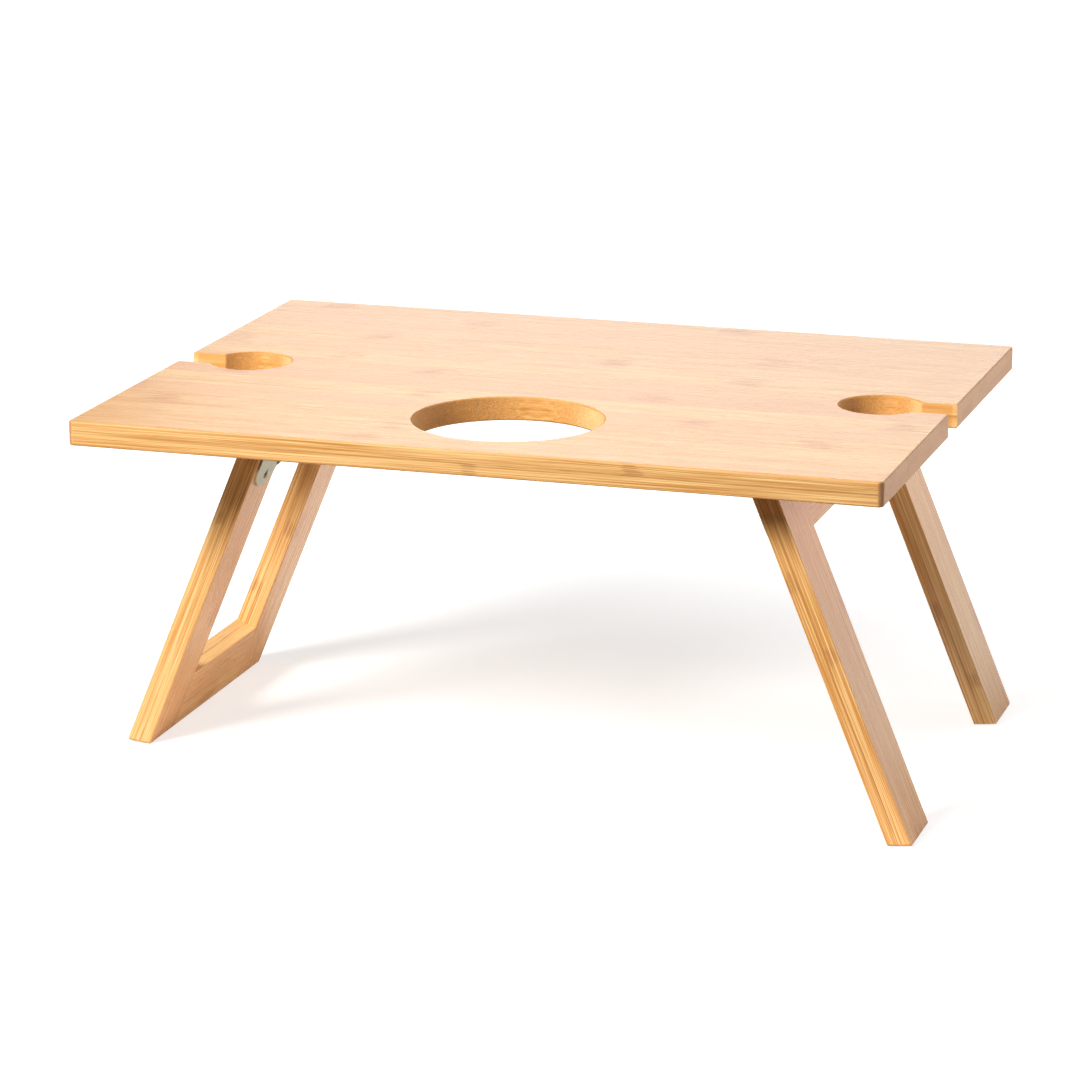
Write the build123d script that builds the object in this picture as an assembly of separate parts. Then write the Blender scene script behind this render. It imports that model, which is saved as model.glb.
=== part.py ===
"""Folding picnic table: a laminated bamboo board on two splayed leg frames that fold flat.

Millimetres, +Z up. The origin is on the floor, at the middle of the standing table's outline.
X runs along the table, Y from front to back; the bottle hole is near the front edge.

A leaf, a screw or a leg is drawn in the local axes of the board that it lies on:
  s  along the board, away from the corner where the leg's inner face meets the underside
  t  out of the board's face
  w  along the hinge axis
"""
import os
from math import cos, radians, sin, tan

from build123d import *

# ---- driving dimensions ---------------------------------------------------------------
TOP_LENGTH = 400.0
TOP_WIDTH = 300.0
TOP_THICKNESS = 12.0
TABLE_HEIGHT = 184.6
TOP_CORNER_RADIUS = 3.0
TOP_EDGE_RADIUS = 0.9

BOTTLE_HOLE_RADIUS = 46.2
BOTTLE_HOLE_Y = -82.0
GLASS_HOLE_RADIUS = 20.6
GLASS_HOLE_X = 164.4
GLASS_SLOT_WIDTH = 20.6
SLOT_CORNER_RADIUS = 1.5   # where a slot opens into its hole

SPLAY = 22.35            # degrees, legs from the vertical
FOOT_CUT = 15.9          # degrees, foot's end cut from square
LEG_THICKNESS = 11.5
LEG_EDGE_RADIUS = 0.5
FOOT_CORNER_RADIUS = 1.5
STOP_GAP = 0.2           # between the legs' bevelled ends and the underside that stops them

# Narrow frame, on the left: its crossbar is at the feet.
LEFT_OUTER_X = 134.85    # where its outer face meets the underside, from the board's middle
LEFT_HALF_WIDTH = 76.4
LEFT_LEG_WIDTH = 33.4
LEFT_BAR_FROM = 150.4    # crossbar's upper face, down the outer face from the underside

# Wide frame, on the right: its crossbar is at the hinges.
RIGHT_OUTER_X = 139.7
RIGHT_HALF_WIDTH = 117.4
RIGHT_LEG_WIDTH = 36.0
RIGHT_BAR_TO = 31.5      # crossbar's lower face, down the outer face from the underside

# Stamped hinges, screwed onto the wood, each with one flange on the side of the table's middle
PIVOT_DEPTH = 7.0        # pivot axis below the underside, and in front of the leg's face
PIN_RADIUS = 2.0
PIN_CLEARANCE = 0.05     # radial, in the leg leaf's flange, which turns on the pin
PIN_HEAD_RADIUS = 3.4
PIN_HEAD_HEIGHT = 1.3
HEAD_PLAY = 0.15         # between a pin's head and the flange beside it
LEAF_THICKNESS = 1.3
LEAF_EDGE_RADIUS = 0.3
LEAF_START = 2.2
LEAF_END = 39.8
LEAF_HALF_WIDTH = 14.7
FLANGE_ROUND = 5.3       # flange's radius about the pin
FLANGE_PLAY = 0.2        # between the two flanges, side by side
LEG_FLANGE_END = 31.5
TABLE_FLANGE_END = 25.0

# Countersunk screws
SCREW_SPOTS = ((19.0, 8.0), (19.0, -8.0), (33.0, 0.0))
SCREW_LENGTH = 10.0
SCREW_RADIUS = 1.5
SCREW_HEAD_RADIUS = 2.85
SCREW_HEAD_SINK = 0.35   # head's top below the leaf's face
SCREW_POINT = 2.4
RECESS_LENGTH = 3.4
RECESS_WIDTH = 0.8
RECESS_DEPTH = 1.1

# Dowels
DOWEL_RADIUS = 3.0
DOWEL_LENGTH = 30.0
DOWEL_SPACING = 15.0
DOWEL_HOLE_EXTRA = 0.5
DOWEL_CHAMFER = 0.6

FAR = 500.0              # longer than any piece, for cutting tools

# ---- derived places -------------------------------------------------------------------
UNDERSIDE_Z = TABLE_HEIGHT - TOP_THICKNESS
SIN = sin(radians(SPLAY))
COS = cos(radians(SPLAY))
BEVEL = LEG_THICKNESS * SIN / COS        # s of the outer face's top corner
PIVOT_S = PIVOT_DEPTH * tan(radians(45 - SPLAY / 2))


def toe_rise():
    """How far the rounded toe's lowest point lies above the sharp toe it replaces."""
    half_angle = radians((90 + FOOT_CUT) / 2)
    reach = LEG_EDGE_RADIUS / sin(half_angle)
    down_leg = -reach * cos(half_angle)
    into_leg = -LEG_EDGE_RADIUS
    return -down_leg * COS - into_leg * SIN - LEG_EDGE_RADIUS


LEG_S = (UNDERSIDE_Z + toe_rise()) / COS             # inner face's length to the sharp toe
FOOT_S = LEG_S + LEG_THICKNESS * tan(radians(FOOT_CUT))
CORNER_TO_OUTER = LEG_THICKNESS / COS
FOOT_REACH = FOOT_S * SIN + LEG_THICKNESS * COS      # of a sharp outer foot corner, from the corner


def middle_shift():
    """X of the board's middle, so that the whole table's outline is centred on the origin."""
    left = LEFT_OUTER_X - CORNER_TO_OUTER + FOOT_REACH
    right = RIGHT_OUTER_X - CORNER_TO_OUTER + FOOT_REACH
    return (left - right) / 2


MIDDLE_X = middle_shift()
SIDES = {
    "left": (-1, MIDDLE_X - LEFT_OUTER_X + CORNER_TO_OUTER, LEFT_HALF_WIDTH - LEFT_LEG_WIDTH / 2),
    "right": (1, MIDDLE_X + RIGHT_OUTER_X - CORNER_TO_OUTER, RIGHT_HALF_WIDTH - RIGHT_LEG_WIDTH / 2),
}
ENDS = {"front": -1, "rear": 1}


def leg_place(side):
    """Local axes (s, t, w) on the inner face of a leg frame."""
    sign, corner_x, _ = SIDES[side]
    return Plane(origin=(corner_x, 0, UNDERSIDE_Z), x_dir=(sign * SIN, 0, -COS), z_dir=(0, sign, 0))


def table_place(side):
    """Local axes (s, t, w) on the underside, starting at the same corner."""
    sign, corner_x, _ = SIDES[side]
    return Plane(origin=(corner_x, 0, UNDERSIDE_Z), x_dir=(-sign, 0, 0), z_dir=(0, -sign, 0))


def flat_outline(level):
    """Plane for an outline in s and w, drawn at height t = level."""
    return Plane(origin=(0, level, 0), x_dir=(1, 0, 0), z_dir=(0, 1, 0))


# ---- hinge pieces, in local axes, with the flange at positive w ----------------------------
def tongue(half_width, start, end, bottom, height):
    """Flat plate with a round far end."""
    centre = end - half_width
    outline = Pos((start + centre) / 2, 0) * Rectangle(centre - start, 2 * half_width)
    outline += Pos(centre, 0) * Circle(half_width)
    return extrude(flat_outline(bottom) * outline, height)


def leaf_plate():
    """Leaf before its flange: its upper edges are rounded by the stamping."""
    plate = tongue(LEAF_HALF_WIDTH, LEAF_START, LEAF_END, 0, LEAF_THICKNESS)
    return fillet(plate.edges().group_by(Axis.Y)[-1], LEAF_EDGE_RADIUS)


def flange(end, outer):
    """Upright flange: the round about the pin, drawn out to the plate at start and end."""
    corners = [(LEAF_START, 0), (end, 0), (end, LEAF_THICKNESS)]
    edges = [Edge.make_circle(FLANGE_ROUND).locate(Location((PIVOT_S, PIVOT_DEPTH, 0)))]
    edges += [Edge.make_line(a, b) for a, b in zip(corners, corners[1:])]
    return Pos(0, 0, outer - LEAF_THICKNESS) * extrude(make_hull(edges), LEAF_THICKNESS)


def pin_bore(radius):
    return Pos(PIVOT_S, PIVOT_DEPTH, 0) * Cylinder(radius, FAR)


def screw_shape(spot, top):
    """Countersunk screw with its head cut off flat at t = top; also the shape of its hole."""
    s, w = spot
    head_radius = SCREW_HEAD_RADIUS + top - LEAF_THICKNESS + SCREW_HEAD_SINK
    cone = head_radius - SCREW_RADIUS
    tip = LEAF_THICKNESS - SCREW_HEAD_SINK - SCREW_LENGTH
    points = [
        (0, top),
        (head_radius, top),
        (SCREW_RADIUS, top - cone),
        (SCREW_RADIUS, tip + SCREW_POINT),
        (0, tip),
    ]
    return Pos(s, 0, w) * revolve(make_face(Polyline(*points, close=True)), Axis.Y)


def screw(spot):
    """Countersunk screw with a cross recess, its head a little below the leaf's face."""
    top = LEAF_THICKNESS - SCREW_HEAD_SINK
    recess = Box(RECESS_LENGTH, 2 * RECESS_DEPTH, RECESS_WIDTH)
    recess += Box(RECESS_WIDTH, 2 * RECESS_DEPTH, RECESS_LENGTH)
    return screw_shape(spot, top) - Pos(spot[0], top, spot[1]) * recess


def screws():
    return [screw(spot) for spot in SCREW_SPOTS]


def screw_holes():
    return [screw_shape(spot, LEAF_THICKNESS) for spot in SCREW_SPOTS]


def leg_leaf():
    """Leaf on the leg: its flange is flush with its side."""
    leaf = leaf_plate() + flange(LEG_FLANGE_END, LEAF_HALF_WIDTH)
    leaf &= tongue(LEAF_HALF_WIDTH, -FAR, LEAF_END, -FAR, 2 * FAR)
    return leaf - screw_holes() - pin_bore(PIN_RADIUS + PIN_CLEARANCE)


def table_leaf():
    """Leaf on the board: its flange is set in, to lie inside the leg leaf's flange."""
    outer = LEAF_HALF_WIDTH - LEAF_THICKNESS - FLANGE_PLAY
    strip = Box(2 * TABLE_FLANGE_END, 4 * LEAF_THICKNESS, 2 * (LEAF_HALF_WIDTH - outer))
    leaf = leaf_plate() - Pos(0, 0, LEAF_HALF_WIDTH) * strip + flange(TABLE_FLANGE_END, outer)
    return leaf - screw_holes() - pin_bore(PIN_RADIUS)


def hinge_pin():
    """Rivet through both flanges, with a low domed head at each end."""
    high = LEAF_HALF_WIDTH + HEAD_PLAY
    low = LEAF_HALF_WIDTH - 2 * LEAF_THICKNESS - FLANGE_PLAY - HEAD_PLAY
    head = Pos(0, 0, PIN_HEAD_HEIGHT / 2) * Cylinder(PIN_HEAD_RADIUS, PIN_HEAD_HEIGHT)
    head = fillet(head.edges().filter_by(GeomType.CIRCLE).sort_by(Axis.Z)[-1], 0.9 * PIN_HEAD_HEIGHT)
    pin = Pos(0, 0, (low + high) / 2) * Cylinder(PIN_RADIUS, high - low)
    pin += Pos(0, 0, high) * head
    pin += Pos(0, 0, low) * mirror(head, Plane.XY)
    return Pos(PIVOT_S, PIVOT_DEPTH, 0) * pin


def handed(shapes, hand):
    """Shapes as they are for a flange at positive w, or mirrored for one at negative w."""
    return [shape if hand > 0 else mirror(shape, Plane.XY) for shape in shapes]


# ---- board --------------------------------------------------------------------------------
def tabletop():
    """Laminated board with the bottle hole, two open glass slots and the hinges' screw holes."""
    outline = RectangleRounded(TOP_LENGTH, TOP_WIDTH, TOP_CORNER_RADIUS)
    for sign, _, _ in SIDES.values():
        channel = Rectangle(TOP_LENGTH / 2 - GLASS_HOLE_X + 1, GLASS_SLOT_WIDTH)
        outline -= Pos(sign * GLASS_HOLE_X, 0) * Circle(GLASS_HOLE_RADIUS)
        outline -= Pos(sign * (TOP_LENGTH / 2 + GLASS_HOLE_X + 1) / 2, 0) * channel
    throats = [v for v in outline.vertices() if GLASS_HOLE_X < abs(v.X) < GLASS_HOLE_X + GLASS_HOLE_RADIUS]
    outline = fillet(throats, SLOT_CORNER_RADIUS)
    outline -= Pos(0, BOTTLE_HOLE_Y) * Circle(BOTTLE_HOLE_RADIUS)
    board = Pos(MIDDLE_X, 0, UNDERSIDE_Z) * extrude(outline, TOP_THICKNESS)
    rims = board.faces().sort_by(Axis.Z)
    board = fillet(rims[0].edges() + rims[-1].edges(), TOP_EDGE_RADIUS)
    for side, (_, _, leg_y) in SIDES.items():
        place = table_place(side)
        for sign in ENDS.values():
            board -= [Pos(0, sign * leg_y, 0) * (place.location * hole) for hole in screw_holes()]
    return board


# ---- leg frames -----------------------------------------------------------------------------
def frame_blank(half_width, leg_width, bar_from, bar_to):
    """Whole frame before it is parted: two legs and a crossbar in one, edges rounded."""
    start = STOP_GAP / COS
    section = [(start, 0), (LEG_S, 0), (FOOT_S, -LEG_THICKNESS), (start + BEVEL, -LEG_THICKNESS)]
    blank = extrude(make_face(Polyline(*section, close=True)), half_width, both=True)
    gap = 2 * (half_width - leg_width)
    if bar_from > 0:
        window = Pos((bar_from - FAR) / 2, 0, 0) * Box(bar_from + FAR, FAR, gap)
    else:
        window = Pos((bar_to + FAR) / 2, 0, 0) * Box(FAR - bar_to, FAR, gap)
    blank -= window
    corners = [e for e in blank.edges() if abs(e.center().Z) > half_width - 0.01 and e.center().X > LEG_S]
    toes = [e for e in corners if abs(e.tangent_at(0.5).Y) > 0.5]
    blank = fillet(toes, FOOT_CORNER_RADIUS)
    lowest_end = start + BEVEL + 0.01
    rims = [f for f in blank.faces() if abs(f.normal_at(f.center()).Y) > 0.999]
    edges = [e for f in rims for e in f.edges() if e.center().X > lowest_end]
    return fillet(edges, LEG_EDGE_RADIUS)


def slab_between(low, high):
    """Everything with w between low and high."""
    return Pos(0, 0, (low + high) / 2) * Box(2 * FAR, 2 * FAR, high - low)


def dowel(s, w, sign):
    """Dowel across the joint at w; the hole for it is a little longer at both ends."""
    body = Cylinder(DOWEL_RADIUS, DOWEL_LENGTH)
    body = chamfer(body.edges().filter_by(GeomType.CIRCLE), DOWEL_CHAMFER)
    return Pos(s, -LEG_THICKNESS / 2, sign * w) * body


def dowel_hole(s, w, sign):
    bore = Cylinder(DOWEL_RADIUS, DOWEL_LENGTH + 2 * DOWEL_HOLE_EXTRA)
    return Pos(s, -LEG_THICKNESS / 2, sign * w) * bore


def dowel_spots(bar_from, bar_to):
    middle = (bar_from + bar_to) / 2
    return [middle - DOWEL_SPACING / 2, middle + DOWEL_SPACING / 2]


def frame_pieces(side, half_width, leg_width, bar_from, bar_to):
    """Legs, crossbar and dowels of one frame, by name, in place."""
    place = leg_place(side).location
    sign, _, leg_w = SIDES[side]
    blank = frame_blank(half_width, leg_width, bar_from, bar_to)
    joint_w = half_width - leg_width
    spots = dowel_spots(max(bar_from, BEVEL), min(bar_to, LEG_S))
    holes = [dowel_hole(s, joint_w, end) for s in spots for end in ENDS.values()]
    bar = (blank & slab_between(-joint_w, joint_w)) - holes
    pieces = {f"{side}_crossbar": [place * bar]}
    for name, end in ENDS.items():
        local_end = sign * end
        low, high = sorted((local_end * joint_w, local_end * half_width))
        leg = (blank & slab_between(low, high)) - holes
        fitting = Pos(0, 0, local_end * leg_w)
        leg -= [fitting * hole for hole in screw_holes()]
        pieces[f"{side}_{name}_leg"] = [place * leg]
        pieces[f"{side}_{name}_dowels"] = [place * dowel(s, joint_w, local_end) for s in spots]
    return pieces


def hinge_pieces(side):
    """Leaves, pins and screws of one frame's two hinges, by name, in place."""
    sign, _, leg_y = SIDES[side]
    leg = leg_place(side).location
    table = table_place(side).location
    pieces = {}
    for name, end in ENDS.items():
        shift = Pos(0, end * leg_y, 0)
        on_leg = {"leg_leaf": [leg_leaf()], "leg_screws": screws()}
        on_table = {"table_leaf": [table_leaf()], "hinge_pin": [hinge_pin()], "table_screws": screws()}
        for fittings, place, hand in ((on_leg, leg, -end * sign), (on_table, table, end * sign)):
            for fitting, shapes in fittings.items():
                placed = [shift * (place * shape) for shape in handed(shapes, hand)]
                pieces[f"{side}_{name}_{fitting}"] = placed
    return pieces


def all_pieces():
    pieces = {"tabletop": [tabletop()]}
    left_bar = LEFT_BAR_FROM + BEVEL
    right_bar = RIGHT_BAR_TO + BEVEL
    pieces |= frame_pieces("left", LEFT_HALF_WIDTH, LEFT_LEG_WIDTH, left_bar, FAR)
    pieces |= frame_pieces("right", RIGHT_HALF_WIDTH, RIGHT_LEG_WIDTH, -FAR, right_bar)
    for side in SIDES:
        pieces |= hinge_pieces(side)
    return pieces


def write(name, shapes):
    solids = [solid for shape in shapes for solid in shape.solids()]
    export_step(Compound(children=solids) if len(solids) > 1 else solids[0], f"parts/{name}.step")


os.makedirs("parts", exist_ok=True)
for piece_name, piece_shapes in all_pieces().items():
    write(piece_name, piece_shapes)
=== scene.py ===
"""Looks of the folding picnic table: oiled laminated bamboo, plated hinges, a white studio sweep.

Metres, +Z up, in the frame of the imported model. Lengths that describe the bamboo itself are in
millimetres, because its pattern is worked out in millimetres.
"""
from math import cos, pi, radians, sin

import bpy
from mathutils import Euler, Matrix, Vector


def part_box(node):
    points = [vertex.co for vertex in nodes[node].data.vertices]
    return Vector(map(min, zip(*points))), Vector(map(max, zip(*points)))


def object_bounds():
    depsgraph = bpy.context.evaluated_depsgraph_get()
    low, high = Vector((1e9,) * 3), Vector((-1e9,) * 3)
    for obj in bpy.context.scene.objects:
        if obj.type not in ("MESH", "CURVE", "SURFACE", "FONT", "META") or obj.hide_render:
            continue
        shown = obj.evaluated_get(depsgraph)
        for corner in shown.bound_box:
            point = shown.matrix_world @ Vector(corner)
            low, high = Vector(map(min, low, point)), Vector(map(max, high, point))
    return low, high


# ---- camera -------------------------------------------------------------------------
CAMERA_PLACE = (0.5930, -1.9126, 0.6436)
CAMERA_TURN = radians(17.561)
CAMERA_DIP = radians(15.10)
CAMERA_ROLL = radians(-0.051)
CAMERA_LENS = 137.37

# ---- light ---------------------------------------------------------------------------
KEY_TRAVEL = (0.45, 0.89, -0.68)
KEY_DISTANCE = 2.2
KEY_SIZE = 0.80
KEY_POWER = 71.0
KEY_COLOR = (0.97, 0.98, 0.96)
SKY = 0.135
SKY_RIGHT = 1.95
SKY_BACK = (1.2, 2.4)                    # behind the table: at the horizon, and higher up
FLOOR_HALF = 8.0
FLOOR_ALBEDO = 0.85
FLOOR_BEHIND = 0.6                       # the sweep behind the table has its own lamps
FLOOR_FADE = (-0.13, -0.34)              # the lit sweep ends in front of the table, in y
SEEN_GLOW = (0.69, 1.0)                  # near the table, and further out
SEEN_CENTRE = (-0.06, 0.0, 0.0)          # the floor's painted glow is weakest here, so the shadows show deepest here
SEEN_REACH = (0.16, 0.42)
SEEN_ALBEDO = 0.40

TONE_GAMMA = 0.88                        # deepens the midtones a little

# ---- bamboo --------------------------------------------------------------------------
SPLAY = radians(22.35)      # of the legs from the vertical
STRIP = 23.2               # width of one bamboo strip, mm
NODE_SPACING = 215.0       # between the node marks of one strip, mm
# tabletop strips, front to back: place of one node mark along the strip, and the spacing
TOP_NODES = {-7: (82, 300), -6: (-55, 260), -5: (-49, 260), -4: (-175, 165), -3: (89, 290),
             -2: (-56, 242), -1: (-162, 217), 0: (-69, 230), 1: (-121, 211), 2: (-190, 205),
             3: (-121, 212), 4: (210, 420), 5: (-81, 300), 6: (-166, 222)}
LEG_NODES = {"left_front": 140.0, "left_rear": 0.0, "right_front": -42.0, "right_rear": 30.0}
# how dark the wide and the narrow faces of each board are, from 0 to 1: partly each board's own tone,
# partly painted shade and light, set face by face
LEG_TONES_AND_SHADE = {"left_front": (0.30, 0.52), "left_rear": (0.62, 0.52), "right_front": (0.66, 0.72),
             "right_rear": (0.26, 0.44)}
TOP_TONES_AND_SHADE = (0.50, 0.48)
BAR_TONES_AND_SHADE = {"left": (0.26, 0.10), "right": (0.50, 0.50)}
BAR_NODES = {"left": 115.0, "right": 60.0}
PALE_WOOD_AND_PAINTED_LIGHT = (0.96, 0.66, 0.32)
HONEY = (0.62, 0.29, 0.085)
PINK = (0.82, 0.45, 0.24)
FACE_HONEY = (0.72, 0.355, 0.15)
NODE_AND_SHADE_BROWN = (0.42, 0.18, 0.065)
NODE_BLUSH = (0.63, 0.26, 0.11)
GLUE_BROWN = (0.42, 0.18, 0.05)
END_BROWN = (0.48, 0.23, 0.09)
GOLD_FOR_ENDS_AND_PAINTED_LIGHT = (0.74, 0.35, 0.075)
END_PINK = (0.82, 0.50, 0.35)
WALL_ORANGE_AND_SHADE = (0.62, 0.25, 0.035)
ARRIS_ORANGE = (0.74, 0.34, 0.075)
PAINTED_LIGHT_REACH = 62.0        # of the painted light, a golden tint, at the board's near left corner, mm

# how strongly each of the wood's tints and marks, and the painted light and shade, is mixed in, from 0 to 1
PINK_SHARE = (0.15, 0.75)
CROWD_SHARE = 0.20
PLY_LINE_SHARE = (0.10, 0.80)
STRIP_LINE_SHARE = 0.18
ARRIS_SHARE = 0.65
PAINTED_LIGHT_CORNER_SHARE = 0.35
NODE_SHARE = 0.72
WALL_SHARE = 0.42
PAINTED_LIGHT_WALL_SHARE = 0.60
END_GOLD_SHARE = 0.45
END_PINK_SHARE = 0.62
PEPPER_SHARE = 0.75
END_CORNER_SHADE_SHARE = 0.65

# ---- metal and dowels -------------------------------------------------------------------
LEAF_TINTS = ((0.56, 0.55, 0.42), (0.60, 0.57, 0.40), (0.58, 0.52, 0.41))
LEAF_ROUGHNESS = (0.30, 0.38)
SCREW_TINTS = ((0.12, 0.10, 0.09), (0.20, 0.17, 0.14), (0.42, 0.37, 0.33))
SCREW_ROUGHNESS = (0.12, 0.22)
DOWEL_TINTS = ((0.72, 0.54, 0.34), (0.60, 0.41, 0.24))

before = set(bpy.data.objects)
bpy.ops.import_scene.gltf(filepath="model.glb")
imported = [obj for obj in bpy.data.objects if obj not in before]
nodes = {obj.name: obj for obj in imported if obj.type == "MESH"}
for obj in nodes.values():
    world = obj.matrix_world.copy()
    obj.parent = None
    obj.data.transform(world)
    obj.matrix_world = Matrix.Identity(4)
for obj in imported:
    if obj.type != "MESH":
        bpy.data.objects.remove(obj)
cad_low, cad_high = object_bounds()


class Tree:
    """One material's nodes, built with short calls."""

    def __init__(self, owner):
        owner.use_nodes = True
        self.tree = owner.node_tree
        self.tree.nodes.clear()

    def node(self, kind, inputs=(), **settings):
        new = self.tree.nodes.new(kind)
        for name, value in settings.items():
            setattr(new, name, value)
        pairs = inputs.items() if isinstance(inputs, dict) else enumerate(inputs)
        for key, value in pairs:
            self.feed(new.inputs[key], value)
        return new

    def feed(self, socket, value):
        if isinstance(value, bpy.types.NodeSocket):
            self.tree.links.new(value, socket)
        else:
            socket.default_value = value

    def math(self, operation, *inputs, clamp=False):
        return self.node("ShaderNodeMath", inputs, operation=operation, use_clamp=clamp).outputs[0]

    def times(self, *values):
        """All the values multiplied together."""
        total = values[0]
        for value in values[1:]:
            total = self.math("MULTIPLY", total, value)
        return total

    def without(self, value):
        """One minus the value."""
        return self.math("SUBTRACT", 1.0, value)

    def centred(self, value):
        """The value about zero instead of about a half."""
        return self.math("SUBTRACT", value, 0.5)

    def vector(self, operation, *inputs):
        new = self.node("ShaderNodeVectorMath", inputs, operation=operation)
        return new.outputs["Value" if operation in ("DOT_PRODUCT", "LENGTH") else "Vector"]

    def combine(self, x, y, z):
        return self.node("ShaderNodeCombineXYZ", (x, y, z)).outputs[0]

    def step(self, value, low, high):
        """0 below low, 1 above high, smooth between."""
        inputs = {"Value": value, "From Min": low, "From Max": high}
        return self.node("ShaderNodeMapRange", inputs, interpolation_type="SMOOTHSTEP").outputs[0]

    def spread(self, value, low, high):
        """A value from 0 to 1 spread from low to high."""
        inputs = {"Value": value, "To Min": low, "To Max": high}
        return self.node("ShaderNodeMapRange", inputs).outputs[0]

    def noise(self, vector, detail=2.0, roughness=0.5):
        inputs = {"Vector": vector, "Scale": 1.0, "Detail": detail, "Roughness": roughness}
        return self.node("ShaderNodeTexNoise", inputs).outputs[0]

    def random(self, vector):
        return self.node("ShaderNodeTexWhiteNoise", {"Vector": vector})

    def mix(self, factor, first, second):
        new = self.node("ShaderNodeMix", data_type="RGBA")
        self.feed(new.inputs[0], factor)
        self.feed(new.inputs[6], colour(first))
        self.feed(new.inputs[7], colour(second))
        return new.outputs[2]

    def surface(self, **inputs):
        named = {key.replace("_", " "): value for key, value in inputs.items()}
        shader = self.node("ShaderNodeBsdfPrincipled", named)
        self.node("ShaderNodeOutputMaterial", {"Surface": shader.outputs[0]})
        return shader


def colour(value):
    """A colour socket as it is, or three numbers with alpha added."""
    return value if isinstance(value, bpy.types.NodeSocket) else (*value, 1.0)


# ---- bamboo ---------------------------------------------------------------------------
def board_axes(t, board):
    """Place and facing of the shaded point in the board's own axes, in millimetres."""
    place = t.node("ShaderNodeTexCoord")
    local = t.vector("SUBTRACT", place.outputs["Object"], board["origin"])
    millimetres = t.node("ShaderNodeVectorMath", operation="SCALE")
    t.feed(millimetres.inputs[0], local)
    millimetres.inputs["Scale"].default_value = 1000.0
    axes = (board["along"], board["across"], board["up"])
    spot = [t.vector("DOT_PRODUCT", millimetres.outputs[0], axis) for axis in axes]
    facing = [t.vector("DOT_PRODUCT", place.outputs["Normal"], axis) for axis in axes]
    return spot, facing


def off_middle(t, value):
    """Distance from the middle of a unit step: 0 in the middle, 0.5 at its ends."""
    return t.math("ABSOLUTE", t.math("SUBTRACT", value, t.math("ROUND", value)))


def pick(t, index, values):
    """The value that belongs to this strip; 0 for a strip that is not listed."""
    total = 0.0
    for number, value in values.items():
        found = t.math("COMPARE", index, float(number), 0.5)
        total = t.math("MULTIPLY_ADD", found, float(value), total)
    return total


def wood_fibres(t, spot, faces):
    """Broad bands, streaks, long fibres and fine hairs, all drawn out along the strip."""
    lengthwise = t.times(faces["edge"], t.without(faces["end"]))
    hair_length = t.math("DIVIDE", 1.0, t.spread(lengthwise, 12.0, 60.0))
    hair_scale = t.combine(hair_length, 1 / 0.34, 1 / 0.34)
    # millimetres along, across and through the board, then the noise's detail and roughness
    sizes = {
        "broad": ((1 / 120, 1 / 6.0, 1 / 2.4), 2.0, 0.5),
        "streak": ((1 / 26, 1 / 2.3, 1 / 2.0), 3.0, 0.6),
        "fibre": ((1 / 95, 1 / 0.62, 1 / 0.58), 2.0, 0.65),
        "hair": (hair_scale, 2.0, 0.6),
    }
    return {key: t.noise(t.vector("MULTIPLY", spot, scale), detail=detail, roughness=roughness)
            for key, (scale, detail, roughness) in sizes.items()}


def wood_grain(t, fibres, faces, chance, tones_and_shade):
    """How dark the wood is, from 0 to 1: the narrow faces show finer fibres than the wide ones."""
    edge = faces["edge"]
    grain = t.times(t.centred(fibres["broad"]), t.spread(edge, 1.1, 0.50))
    weights = {"streak": (1.6, 0.20), "fibre": (1.0, 2.1), "hair": (1.0, 2.8)}
    for key, (wide, narrow) in weights.items():
        grain = t.math("MULTIPLY_ADD", t.centred(fibres[key]), t.spread(edge, wide, narrow), grain)
    grain = t.math("MULTIPLY_ADD", t.centred(chance), t.spread(faces["end"], 0.22, 0.60), grain)
    # the tone added here is partly the wood's own and partly painted shade and light, set for each face
    return t.math("ADD", grain, t.spread(edge, *tones_and_shade), clamp=True)


def painted_light_corner(t, wood, along, across, faces, corner):
    """The wood with painted light, a golden tint, at one corner, and the distance from that corner's end of
    the board.
    """
    corner_along, corner_across = corner
    off_end = t.math("SUBTRACT", along, corner_along)
    off_front = t.times(t.math("SUBTRACT", across, corner_across), 0.5)
    off = t.vector("LENGTH", t.combine(off_end, off_front, 0.0))
    painted_light_mask = t.without(t.step(off, 4.0, PAINTED_LIGHT_REACH))
    painted_light_mask = t.times(painted_light_mask, t.step(faces["face_facing"], 0.8, 0.97))
    return t.mix(t.times(painted_light_mask, PAINTED_LIGHT_CORNER_SHARE), wood, GOLD_FOR_ENDS_AND_PAINTED_LIGHT), off_end


def node_marks(t, board, strip, strip_value, ply, along, spot, fibres, edge):
    """Patches of brown hairs across a strip, one to every length of cane."""
    if "nodes" in board:
        start = pick(t, strip, {number: node[0] for number, node in board["nodes"].items()})
        spacing = pick(t, strip, {number: node[1] for number, node in board["nodes"].items()})
    else:
        start = t.math("MULTIPLY_ADD", strip, 97.0, board["start"])
        spacing = NODE_SPACING
    start = t.math("MULTIPLY_ADD", t.math("SUBTRACT", ply, 1.0), 40.0, start)
    wobble = t.noise(t.vector("MULTIPLY", spot, (1 / 14, 1 / 3.0, 1 / 3.0)))
    phase = t.math("DIVIDE", t.math("SUBTRACT", along, start), spacing)
    away = t.times(t.math("SUBTRACT", phase, t.math("ROUND", phase)), spacing)
    away = t.math("MULTIPLY_ADD", t.centred(wobble), t.spread(edge, 28.0, 12.0), away)
    patch = t.without(t.step(t.math("ABSOLUTE", away), 2.0, t.spread(edge, 12.0, 6.0)))
    middle_part = t.without(t.step(off_middle(t, strip_value), 0.20, 0.48))
    patch = t.times(patch, t.math("MAXIMUM", middle_part, edge))
    hair, streak = fibres["hair"], fibres["streak"]
    fleck = t.math("MULTIPLY_ADD", edge, t.math("SUBTRACT", hair, streak), streak)
    return t.times(patch, t.spread(t.step(fleck, 0.36, 0.62), t.spread(edge, 0.30, 0.10), 0.80))


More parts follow.
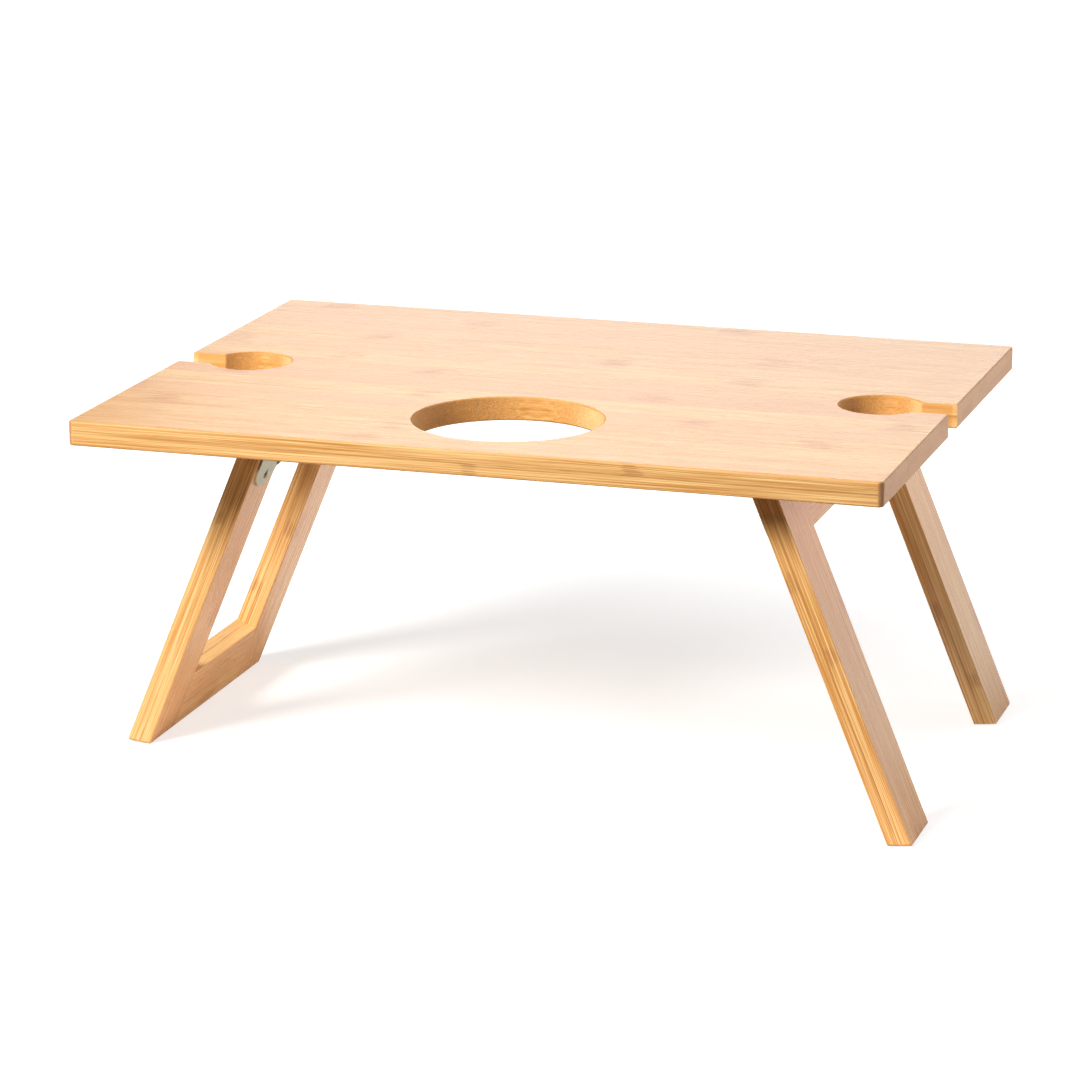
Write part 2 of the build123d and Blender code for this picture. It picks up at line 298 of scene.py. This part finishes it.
def cut_ends(t, wood, along, across, spot, facing, faces, board):
    """The wood with its cut ends and hole walls, which are deeper in colour and show the fibres as dots;
    the hole walls carry painted light and painted shade, and the end corners painted shade.
    """
    end = faces["end"]
    dots = t.noise(t.vector("MULTIPLY", spot, (1 / 1.1, 1 / 0.50, 1 / 0.50)), detail=1.0)
    pepper = t.times(end, t.spread(t.step(dots, 0.42, 0.60), 0.0, PEPPER_SHARE))
    tip = t.step(t.math("ABSOLUTE", along), board["reach"] - 3.4, board["reach"] - 1.6)
    pepper = t.times(pepper, t.spread(tip, 1.0, 0.45))
    rim = t.step(t.math("ABSOLUTE", across), board["half_width"] - 3.4, board["half_width"] - 1.6)
    wall = t.times(faces["edge"], t.without(t.math("MAXIMUM", tip, rim)))
    # walls that face back along the board, towards its left end, are paler than the others: painted light
    # on the walls facing the lamp, and painted shade, a deeper orange and gold, on the walls facing away
    painted_light_wall = t.step(t.times(facing[0], -1.0), 0.30, 0.80)
    painted_shade_share = t.spread(painted_light_wall, 1.0, 0.12)
    wood = t.mix(t.times(wall, painted_shade_share, WALL_SHARE), wood, WALL_ORANGE_AND_SHADE)
    wood = t.mix(t.times(end, t.without(tip), painted_shade_share, END_GOLD_SHARE), wood, GOLD_FOR_ENDS_AND_PAINTED_LIGHT)
    wood = t.mix(t.times(end, tip, END_PINK_SHARE), wood, END_PINK)
    wood = t.mix(t.times(wall, painted_light_wall, PAINTED_LIGHT_WALL_SHARE), wood, PALE_WOOD_AND_PAINTED_LIGHT)
    wood = t.mix(t.times(pepper, t.spread(painted_light_wall, 1.0, 0.5)), wood, END_BROWN)
    # painted shade: the rounded upright corners at the board's ends are darkened towards brown
    corner = t.times(t.step(faces["end_facing"], 0.15, 0.45), t.step(faces["side_facing"], 0.15, 0.45))
    return t.mix(t.times(tip, corner, END_CORNER_SHADE_SHARE), wood, NODE_AND_SHADE_BROWN)


def bamboo(name, board):
    """Two plies of bamboo strips, each strip with its own tone, fibres and node marks."""
    material = bpy.data.materials.new(name)
    t = Tree(material)
    (along, across, up), facing = board_axes(t, board)
    names = ("end_facing", "side_facing", "face_facing")
    faces = {key: t.math("ABSOLUTE", value) for key, value in zip(names, facing)}
    face_facing = faces["face_facing"]
    edge = faces["edge"] = t.without(t.step(face_facing, 0.5, 0.8))
    end = faces["end"] = t.step(faces["end_facing"], 0.10, 0.55)

    ply = t.math("SIGN", up)
    strip_value = t.math("DIVIDE", t.math("ADD", across, board["strip_shift"]), STRIP)
    strip_value = t.math("ADD", strip_value, t.times(ply, 0.17))
    strip = t.math("ROUND", strip_value)
    chance = t.random(t.combine(strip, ply, board["seed"]))
    shift = t.vector("MULTIPLY", chance.outputs["Color"], (400.0, 60.0, 60.0))
    spot = t.vector("ADD", t.combine(along, across, up), shift)
    fibres = wood_fibres(t, spot, faces)
    grain = wood_grain(t, fibres, faces, chance.outputs["Value"], board["tones_and_shade"])
    wood = t.mix(grain, PALE_WOOD_AND_PAINTED_LIGHT, t.mix(edge, FACE_HONEY, HONEY))
    blush = t.random(t.combine(ply, strip, board["seed"])).outputs["Value"]
    wood = t.mix(t.times(t.spread(blush, *PINK_SHARE), face_facing), wood, PINK)
    # painted light: a golden tint at the board's near left corner
    if "painted_light_corner" in board:
        wood, off_end = painted_light_corner(t, wood, along, across, faces, board["painted_light_corner"])

    # fibres crowd together towards the glue line between the plies, and strips meet in fainter lines
    lengthwise = t.times(edge, t.without(end))
    crowd = t.without(t.step(t.math("ABSOLUTE", up), 0.0, 1.7))
    crowd = t.times(crowd, lengthwise, t.step(fibres["fibre"], 0.36, 0.60))
    wood = t.mix(t.times(crowd, CROWD_SHARE), wood, GLUE_BROWN)
    wander = t.times(t.centred(fibres["broad"]), 0.8)
    ply_line = t.without(t.step(t.math("ABSOLUTE", t.math("ADD", up, wander)), 0.08, 0.40))
    broken = t.spread(t.step(fibres["streak"], 0.38, 0.60), *PLY_LINE_SHARE)
    ply_line = t.times(ply_line, lengthwise, broken)
    # the ply lines fade out under the painted light at that corner
    if "painted_light_corner" in board:
        ply_line = t.times(ply_line, t.spread(t.step(off_end, 60.0, 240.0), 0.25, 1.0))
    strip_line = t.step(off_middle(t, strip_value), 0.5 - 0.5 / STRIP, 0.5 - 0.1 / STRIP)
    strip_line = t.times(strip_line, t.without(t.step(faces["side_facing"], 0.5, 0.8)))
    line = t.math("MAXIMUM", ply_line, t.times(strip_line, STRIP_LINE_SHARE))
    wood = t.mix(line, wood, GLUE_BROWN)

    # the rounded arrises are a deeper orange
    arris = t.times(t.step(face_facing, 0.12, 0.40), t.without(t.step(face_facing, 0.80, 0.97)))
    wood = t.mix(t.times(arris, ARRIS_SHARE), wood, ARRIS_ORANGE)
    mark = node_marks(t, board, strip, strip_value, ply, along, spot, fibres, edge)
    wood = t.mix(t.times(mark, NODE_SHARE), wood, t.mix(edge, NODE_BLUSH, NODE_AND_SHADE_BROWN))
    wood = cut_ends(t, wood, along, across, spot, facing, faces, board)

    relief = t.math("MULTIPLY_ADD", fibres["hair"], 0.35, t.times(fibres["fibre"], 0.5))
    relief = t.math("SUBTRACT", relief, t.times(line, 0.9))
    relief = t.math("SUBTRACT", relief, t.times(mark, 0.5))
    bump = t.node("ShaderNodeBump", {"Strength": 0.35, "Distance": 0.00010, "Height": relief})
    gloss = t.spread(fibres["fibre"], 0.22, 0.32)
    rough = t.math("MULTIPLY_ADD", t.math("MAXIMUM", end, arris), 0.30, gloss)
    t.surface(Base_Color=wood, Roughness=rough, Normal=bump.outputs[0])
    return material


# ---- metal -----------------------------------------------------------------------------
def plated(name, tints, roughness):
    """Zinc-plated steel, its passivation drifting between tints."""
    material = bpy.data.materials.new(name)
    t = Tree(material)
    spot = t.node("ShaderNodeTexCoord").outputs["Object"]
    drift = t.noise(t.vector("MULTIPLY", spot, (90.0, 90.0, 90.0)), detail=2.0)
    cloud = t.noise(t.vector("MULTIPLY", spot, (210.0, 170.0, 210.0)), detail=3.0)
    metal = t.mix(t.step(drift, 0.30, 0.70), tints[0], tints[1])
    metal = t.mix(t.times(t.step(cloud, 0.35, 0.75), 0.4), metal, tints[2])
    scratch = t.noise(t.vector("MULTIPLY", spot, (4000.0, 600.0, 4000.0)), detail=2.0)
    bump = t.node("ShaderNodeBump", {"Strength": 0.15, "Distance": 0.00005, "Height": scratch})
    rough = t.spread(cloud, *roughness)
    t.surface(Base_Color=metal, Metallic=1.0, Roughness=rough, Normal=bump.outputs[0])
    return material


# ---- boards and where they lie ------------------------------------------------------------
def middle(node):
    low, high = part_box(node)
    return (low + high) / 2


def leg_axes(side):
    """Down the leg, and out of its inner face."""
    sign = -1 if side == "left" else 1
    return (sign * sin(SPLAY), 0.0, -cos(SPLAY)), (-sign * cos(SPLAY), 0.0, -sin(SPLAY))


def paint(node, material):
    mesh = nodes[node].data
    mesh.materials.clear()
    mesh.materials.append(material)


def paint_wood():
    low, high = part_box("tabletop")
    half_length, half_width, _ = 500.0 * (high - low)
    top = {"origin": middle("tabletop"), "along": (1.0, 0.0, 0.0), "across": (0.0, 1.0, 0.0),
           "up": (0.0, 0.0, 1.0), "strip_shift": -7.1, "seed": 1.0, "nodes": TOP_NODES, "tones_and_shade": TOP_TONES_AND_SHADE,
           "reach": half_length, "half_width": half_width, "painted_light_corner": (-half_length, -half_width)}
    paint("tabletop", bamboo("bamboo_top", top))
    seed = 2.0
    for side in ("left", "right"):
        down, out = leg_axes(side)
        for end in ("front", "rear"):
            node = f"{side}_{end}_leg"
            board = {"origin": middle(node), "along": down, "across": (0.0, 1.0, 0.0), "up": out,
                     "strip_shift": 7.0, "seed": seed, "start": LEG_NODES[f"{side}_{end}"],
                     "tones_and_shade": LEG_TONES_AND_SHADE[f"{side}_{end}"], "reach": 1000.0, "half_width": 0.0}
            paint(node, bamboo(f"bamboo_{node}", board))
            seed += 1.0
        node = f"{side}_crossbar"
        board = {"origin": middle(node), "along": (0.0, 1.0, 0.0), "across": down, "up": out,
                 "strip_shift": 4.0, "seed": seed, "start": BAR_NODES[side], "tones_and_shade": BAR_TONES_AND_SHADE[side],
                 "reach": 1000.0, "half_width": 0.0}
        paint(node, bamboo(f"bamboo_{node}", board))
        seed += 1.0


def paint_metal():
    leaf = plated("hinge_steel", LEAF_TINTS, LEAF_ROUGHNESS)
    screw = plated("screw_steel", SCREW_TINTS, SCREW_ROUGHNESS)
    for node in nodes:
        if node.endswith(("leaf", "hinge_pin")):
            paint(node, leaf)
        elif node.endswith("screws"):
            paint(node, screw)


def paint_dowels():
    material = bpy.data.materials.new("dowel_wood")
    t = Tree(material)
    spot = t.node("ShaderNodeTexCoord").outputs["Object"]
    grain = t.noise(t.vector("MULTIPLY", spot, (900.0, 25.0, 900.0)), detail=2.0)
    t.surface(Base_Color=t.mix(grain, *DOWEL_TINTS), Roughness=0.55)
    for node in nodes:
        if node.endswith("dowels"):
            paint(node, material)


# ---- studio ----------------------------------------------------------------------------------
def studio_floor():
    """White sweep, which the camera sees washed out to white with only a trace of the shadows."""
    bpy.ops.mesh.primitive_plane_add(size=2 * FLOOR_HALF, location=(0, 0, cad_low[2]))
    floor = bpy.context.object
    floor.name = "floor"
    material = bpy.data.materials.new("paper_sweep")
    t = Tree(material)
    place = t.node("ShaderNodeTexCoord").outputs["Object"]
    depth = t.vector("DOT_PRODUCT", place, (0.0, 1.0, 0.0))
    near, far = FLOOR_FADE
    level = t.math("MULTIPLY", t.step(depth, far, near), FLOOR_ALBEDO)
    paper = t.node("ShaderNodeBsdfDiffuse", {"Color": t.combine(level, level, level)}).outputs[0]
    lamps = t.math("MULTIPLY", t.step(depth, 0.02, 0.40), FLOOR_BEHIND)
    lamp_glow = t.node("ShaderNodeEmission", {"Strength": lamps}).outputs[0]
    paper = t.node("ShaderNodeAddShader", (paper, lamp_glow)).outputs[0]
    # the camera sees painted light on the floor: it glows, weaker near the table, so real shadows show only
    # there and fade out further away
    seen = (SEEN_ALBEDO, SEEN_ALBEDO, SEEN_ALBEDO, 1.0)
    shaded = t.node("ShaderNodeBsdfDiffuse", {"Color": seen}).outputs[0]
    reach = t.step(t.vector("LENGTH", t.vector("SUBTRACT", place, SEEN_CENTRE)), *SEEN_REACH)
    glow = t.node("ShaderNodeEmission", {"Strength": t.spread(reach, *SEEN_GLOW)}).outputs[0]
    washed = t.node("ShaderNodeAddShader", (shaded, glow)).outputs[0]
    eye = t.node("ShaderNodeLightPath").outputs["Is Camera Ray"]
    mixed = t.node("ShaderNodeMixShader", (eye, paper, washed)).outputs[0]
    clear = t.node("ShaderNodeBsdfTransparent").outputs[0]
    below = t.node("ShaderNodeNewGeometry").outputs["Backfacing"]
    sheet = t.node("ShaderNodeMixShader", (below, mixed, clear)).outputs[0]
    t.node("ShaderNodeOutputMaterial", {"Surface": sheet})
    floor.data.materials.append(material)


def studio_world():
    """Dim room, brighter to the right and behind the table, and plain white to the camera."""
    world = bpy.data.worlds.new("studio")
    bpy.context.scene.world = world
    t = Tree(world)
    direction = t.node("ShaderNodeTexCoord").outputs["Generated"]
    aside = t.step(t.vector("DOT_PRODUCT", direction, (1.0, 0.0, 0.0)), 0.35, 0.80)
    rearward = t.step(t.vector("DOT_PRODUCT", direction, (0.0, 1.0, 0.0)), -0.25, 0.10)
    right = t.times(aside, rearward)
    behind = t.step(t.vector("DOT_PRODUCT", direction, (0.25, 0.97, 0.0)), 0.760, 0.80)
    height = t.vector("DOT_PRODUCT", direction, (0.0, 0.0, 1.0))
    glow = t.spread(t.step(height, 0.03, 0.15), *SKY_BACK)
    glow = t.times(glow, t.without(t.step(height, 0.22, 0.32)))
    right = t.times(right, t.without(t.step(height, 0.30, 0.75)))
    level = t.math("MULTIPLY_ADD", right, SKY_RIGHT, SKY)
    level = t.math("MULTIPLY_ADD", behind, glow, level)
    eye = t.node("ShaderNodeLightPath").outputs["Is Camera Ray"]
    level = t.math("MAXIMUM", level, eye)
    background = t.node("ShaderNodeBackground", {"Color": (1.0, 1.0, 1.0, 1.0), "Strength": level})
    t.node("ShaderNodeOutputWorld", {"Surface": background.outputs[0]})


def area_light(name, travel, distance, size, power, tint):
    light = bpy.data.lights.new(name, "AREA")
    light.shape = "DISK"
    light.size = size
    light.energy = power
    light.color = tint
    lamp = bpy.data.objects.new(name, light)
    bpy.context.scene.collection.objects.link(lamp)
    travel = Vector(travel).normalized()
    lamp.location = Vector((0, 0, cad_high[2])) - distance * travel
    lamp.rotation_euler = travel.to_track_quat("-Z", "Y").to_euler()
    lamp.visible_camera = False


def camera():
    lens = bpy.data.cameras.new("camera")
    lens.lens = CAMERA_LENS
    lens.sensor_width = 36.0
    view = bpy.data.objects.new("camera", lens)
    bpy.context.scene.collection.objects.link(view)
    turn = Euler((pi / 2 - CAMERA_DIP, 0, CAMERA_TURN)).to_matrix().to_4x4()
    view.matrix_world = Matrix.Translation(CAMERA_PLACE) @ turn @ Matrix.Rotation(CAMERA_ROLL, 4, "Z")
    bpy.context.scene.camera = view


camera()
paint_wood()
paint_metal()
paint_dowels()
studio_floor()
studio_world()
area_light("key", KEY_TRAVEL, KEY_DISTANCE, KEY_SIZE, KEY_POWER, KEY_COLOR)
bpy.context.scene.view_settings.view_transform = "Standard"
bpy.context.scene.view_settings.gamma = TONE_GAMMA
